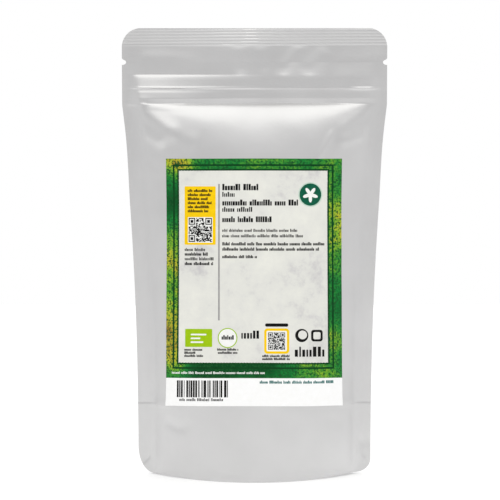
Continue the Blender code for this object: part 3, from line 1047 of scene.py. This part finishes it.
def border_material():
    """Mottled greens that run into yellow and a little brown, with dark speckles."""
    made = Material("print_border")
    wide = made.noise(20, 2, 0.5, 0.4)
    fine = made.noise(300, 9, 0.85)
    both = calculated(made.tree, "MULTIPLY_ADD", fine, 0.40, made.spread(wide, -0.25, 0.86))
    speckle = made.ramp(made.noise(1100, 2, 0.6), SPECKLE_STOPS)
    made.colour(blended(made.tree, speckle, SPECKLE, made.ramp(both, BORDER_STOPS)))
    made.rough(fine, *BORDER_ROUGHNESS)
    made.bump([(made.noise(GRAIN_SCALE, 3), GRAIN_DEPTH)])
    made.set(Specular_IOR_Level=PRINT_GLOSS)
    return made.material


def parchment_material():
    """Off-white with faint grey and warm clouds."""
    made = Material("print_parchment")
    made.colour(made.ramp(made.noise(45, 7, 0.7), PARCHMENT_STOPS))
    made.rough(made.noise(700, 4), *PARCHMENT_ROUGHNESS)
    made.bump([(made.noise(GRAIN_SCALE, 3), GRAIN_DEPTH)])
    made.set(Specular_IOR_Level=PRINT_GLOSS)
    return made.material


def pod_material():
    """Pale green ribbed pods, for the bulk inside, with painted shade in the grooves between them."""
    made = Material("pods")
    cells = made.node("ShaderNodeTexVoronoi", Scale=90)
    made.link(made.place(), cells.inputs["Vector"])
    # The colour follows the grooves' distance: pod green in the middle, painted shade in the gaps
    # between pods.
    made.colour(made.ramp(cells.outputs["Distance"], POD_STOPS_WITH_GAP_SHADE))
    made.rough(made.noise(500, 4), *POD_ROUGHNESS)
    grain = made.noise(900, 4)
    made.bump([(cells.outputs["Distance"], -POD_GROOVE_DEPTH), (grain, POD_GRAIN_DEPTH)])
    return made.material


def dress_zip():
    """A finish for the zip's strips, which keep their shapes from the frame."""
    plastic = mottled("zip_plastic", *ZIP_TONES, ZIP_ROUGHNESS).material
    for name in ("zip_female", "zip_male"):
        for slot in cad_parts[name].material_slots:
            slot.material = plastic


def make_camera():
    """The photograph's view: a little above the pouch, looking along +Y."""
    data = bpy.data.cameras.new("camera")
    data.sensor_width = SENSOR_MM
    data.lens = PIXELS_PER_METRE * CAMERA_DISTANCE / PICTURE * SENSOR_MM
    data.clip_start = CLIP_START
    camera = bpy.data.objects.new("camera", data)
    bpy.context.scene.collection.objects.link(camera)
    right = (PICTURE / 2 - POUCH_PIXEL[0]) / PIXELS_PER_METRE
    up = (POUCH_PIXEL[1] - PICTURE / 2) / PIXELS_PER_METRE
    back = Vector((0, -math.cos(CAMERA_PITCH), math.sin(CAMERA_PITCH)))
    rise = Vector((0, math.sin(CAMERA_PITCH), math.cos(CAMERA_PITCH)))
    aim = Vector((right, 0, POUCH_AIM)) + up * rise
    camera.location = aim + back * CAMERA_DISTANCE
    camera.rotation_euler = (-back).to_track_quat("-Z", "Y").to_euler()
    bpy.context.scene.camera = camera


def add_lamp(name, place, aim, size, power, colour):
    """A soft rectangular lamp that points at aim."""
    data = bpy.data.lights.new(name, "AREA")
    data.shape = "RECTANGLE"
    data.size, data.size_y = size
    data.energy = power
    data.color = colour
    lamp = bpy.data.objects.new(name, data)
    lamp.location = place
    lamp.rotation_euler = (Vector(aim) - Vector(place)).to_track_quat("-Z", "Y").to_euler()
    bpy.context.scene.collection.objects.link(lamp)


def calculated(tree, operation, *values):
    """The result of a calculation on numbers and on other nodes' outputs."""
    made = tree.nodes.new("ShaderNodeMath")
    made.operation = operation
    for socket, value in zip(made.inputs, values):
        if isinstance(value, float):
            socket.default_value = value
        else:
            tree.links.new(value, socket)
    return made.outputs["Value"]


def blended(tree, share, first, second):
    """A colour between two others, each given as a colour or as another node's output."""
    blend = tree.nodes.new("ShaderNodeMix")
    blend.data_type = "RGBA"
    tree.links.new(share, blend.inputs[0])
    colours = [socket for socket in blend.inputs if socket.type == "RGBA"]
    for socket, colour in zip(colours, (first, second)):
        if isinstance(colour, tuple):
            socket.default_value = colour
        else:
            tree.links.new(colour, socket)
    return [socket for socket in blend.outputs if socket.type == "RGBA"][0]


def make_world():
    """A pale surround, lighter at the sides than in front, and white where the camera sees it."""
    world = bpy.data.worlds.new("studio")
    world.use_nodes = True
    tree = world.node_tree
    direction = tree.nodes.new("ShaderNodeSeparateXYZ")
    tree.links.new(tree.nodes.new("ShaderNodeTexCoord").outputs["Generated"], direction.inputs[0])
    across = direction.outputs["X"]
    sideways = calculated(tree, "MULTIPLY", across, calculated(tree, "ADD", across, SURROUND_SHIFT))
    surround = blended(tree, sideways, SURROUND_FRONT, SURROUND_SIDE)
    seen = tree.nodes.new("ShaderNodeLightPath").outputs["Is Camera Ray"]
    tree.links.new(blended(tree, seen, surround, WHITE), tree.nodes["Background"].inputs["Color"])
    bpy.context.scene.world = world


def floor_material():
    """Pale floor that glows a little, most along its middle."""
    made = mottled("floor", *FLOOR_TONES, FLOOR_ROUGHNESS, scale=20)
    place = made.node("ShaderNodeSeparateXYZ")
    made.link(made.place(), place.inputs[0])
    across = place.outputs["X"]
    aside = calculated(made.tree, "MULTIPLY", across, across)
    share = calculated(made.tree, "MULTIPLY", aside, 1 / FLOOR_GLOW_REACH ** 2)
    made.link(blended(made.tree, share, WHITE, FLOOR_SIDE), made.shader.inputs["Emission Color"])
    made.set(Emission_Strength=FLOOR_GLOW)
    return made.material


def make_floor():
    """The floor under the pouch."""
    mesh = bpy.data.meshes.new("floor")
    left, right = -FLOOR_HALF_WIDTH, FLOOR_HALF_WIDTH
    front_rim = [(left, FLOOR_FRONT, 0), (right, FLOOR_FRONT, 0)]
    back_rim = [(right, FLOOR_BACK, 0), (left, FLOOR_BACK, 0)]
    mesh.from_pydata(front_rim + back_rim, [], [range(4)])
    mesh.materials.append(floor_material())
    floor = bpy.data.objects.new("floor", mesh)
    bpy.context.scene.collection.objects.link(floor)


def make_studio():
    """Floor, surround and soft lamps."""
    make_world()
    make_floor()
    for lamp in LAMPS:
        add_lamp(**lamp)
    bpy.context.scene.view_settings.view_transform = "Standard"


def main():
    make_camera()
    make_studio()
    front = Panel(FRONT_CREASES, FRONT_SEED, True)
    back = Panel(BACK_CREASES, BACK_SEED, False)
    film = film_material()
    add_film("front_film", front, film)
    add_film("back_film", back, film)
    add_gusset(front, back, film)
    add_fill(front, back, pod_material())
    add_label(front)
    dress_zip()


main()
